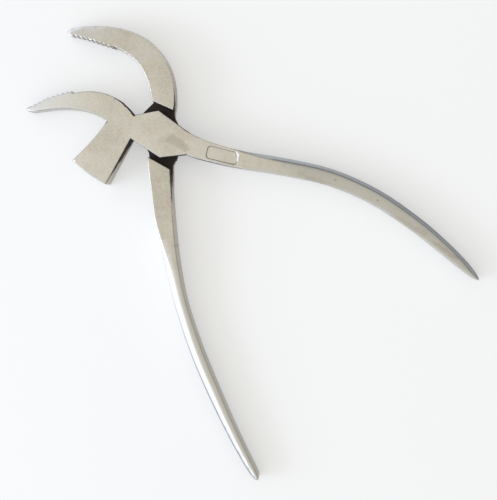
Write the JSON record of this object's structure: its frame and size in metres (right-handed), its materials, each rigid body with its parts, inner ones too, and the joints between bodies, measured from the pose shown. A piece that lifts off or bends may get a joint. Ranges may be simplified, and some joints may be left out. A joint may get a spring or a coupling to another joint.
{
  "type": "lasting pliers",
  "caption": "Riveted lap-joint lasting pliers with toothed jaws curved to one side, a square hammer block on one half and two long bowed handles, lying open.",
  "frame": {"origin": "on the rivet axis, in the plane of the rear faces that the tool lies on", "axes": "+Z along the rivet axis away from the table, +X along the middle of the opening towards the handles, -Y towards the hammer block and the lower jaw"},
  "size_m": [0.2131, 0.1398, 0.012],
  "materials": {
    "ground_steel": "satin",
    "ground_steel_dark": "satin",
    "rivet_steel": "satin"
  },
  "bodies": {
    "hammer_side": {"hammer_half": "ground_steel", "pivot_rivet": "rivet_steel"},
    "plain_side": {"plain_half": "ground_steel_dark"}
  },
  "joints": [
    {"name": "jaw_pivot", "type": "hinge", "parent": "hammer_side", "child": "plain_side", "pos_m": [0, 0, 0], "axis": [0, 0, 1], "range_deg": [-41.5, 34]}
  ]
}
